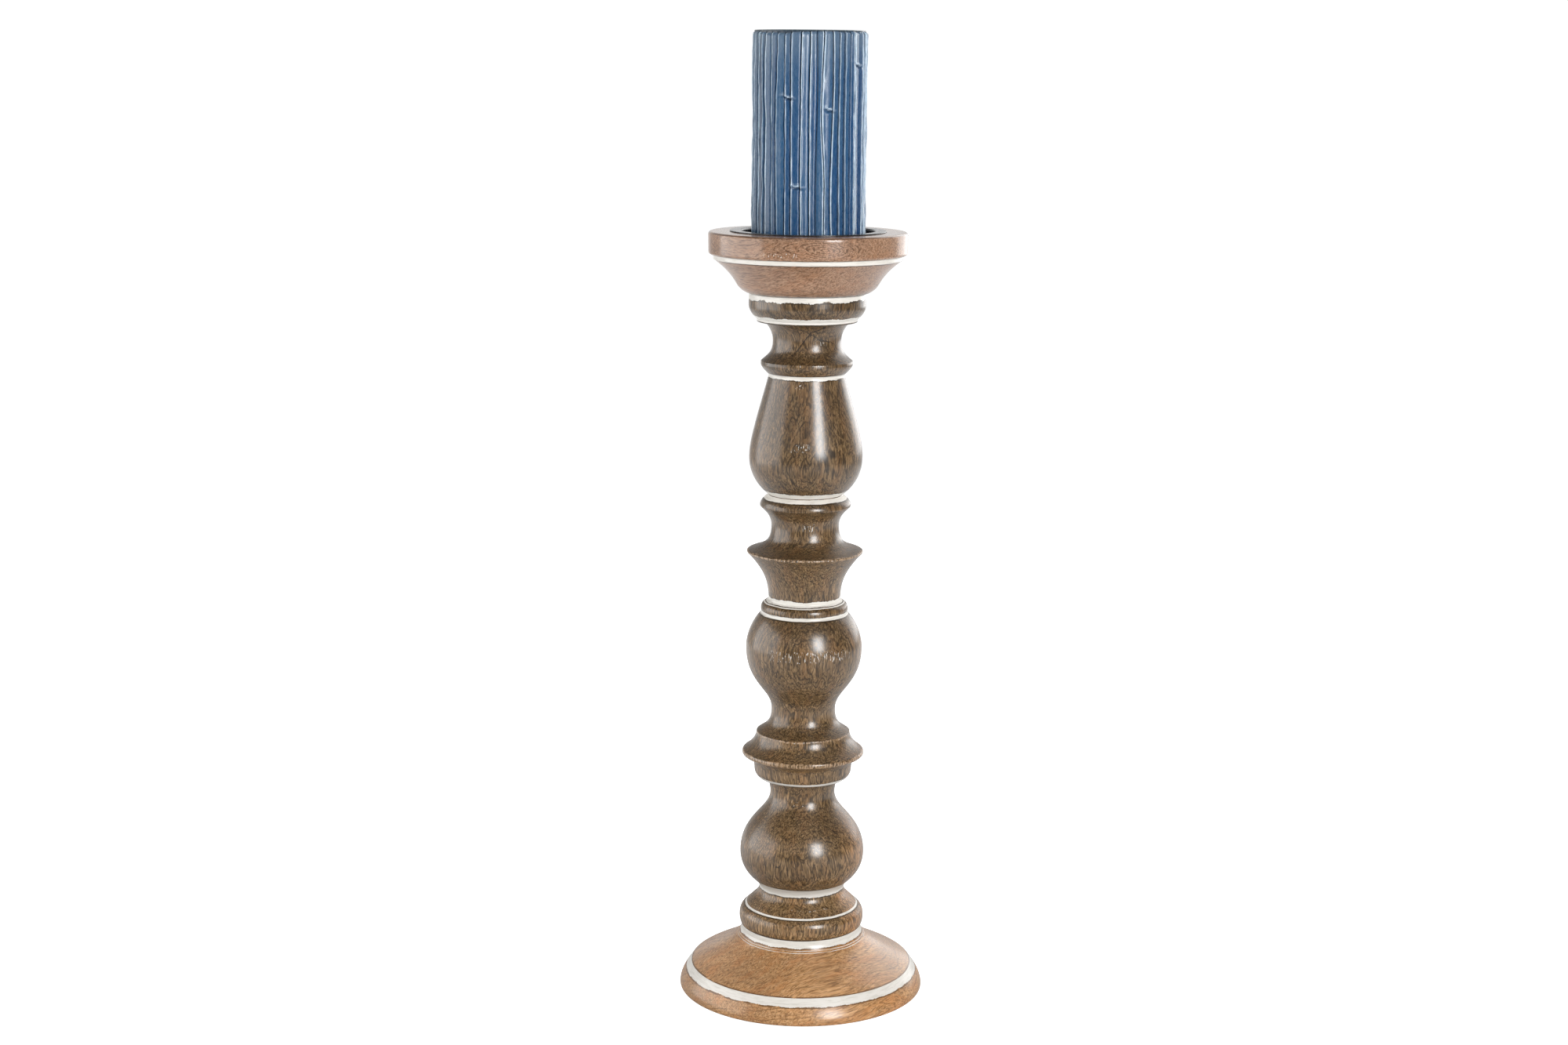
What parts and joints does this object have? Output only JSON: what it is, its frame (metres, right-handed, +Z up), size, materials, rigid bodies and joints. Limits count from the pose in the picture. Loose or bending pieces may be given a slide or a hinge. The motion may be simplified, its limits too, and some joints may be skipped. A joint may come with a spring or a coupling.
{
  "type": "candlestick",
  "caption": "Turned wooden candlestick with a flared round base, a beaded baluster column, a wide cup with a dark metal drip pan and spike, and a ribbed pillar candle that lifts off.",
  "frame": {"origin": "on the axis, in the plane of the foot pads' undersides", "axes": "+Z up along the turned axis; the front is towards -Y; the candlestick is round, so X and Y differ only in where the small pan screws lie"},
  "size_m": [0.153, 0.153, 0.5958],
  "materials": {
    "base_wood": "satin lacquer on golden brown wood, with white painted rings worn at their edges",
    "column_wood": "satin lacquer on grey-brown stained wood, with white painted rings worn at their edges",
    "cup_wood": "satin lacquer on reddish brown wood, with one white painted ring",
    "pan_metal": "gloss black enamel",
    "steel": "zinc plated",
    "felt": "pressed felt",
    "wax": "glossy dyed wax with upright ribs",
    "cotton": "braided cotton"
  },
  "bodies": {
    "stand": {"base": "base_wood", "column": "column_wood", "cup": "cup_wood", "drip_pan": "pan_metal", "spike": "steel", "pan_screws": "steel", "cup_screw": "steel", "base_screw": "steel", "base_washer": "steel", "foot_pads": "felt"},
    "candle": {"candle_wax": "wax", "wick": "cotton"}
  },
  "joints": [
    {"name": "candle_lift", "type": "slide", "parent": "stand", "child": "candle", "axis": [0, 0, 1], "range_m": [0, 0.06]}
  ]
}
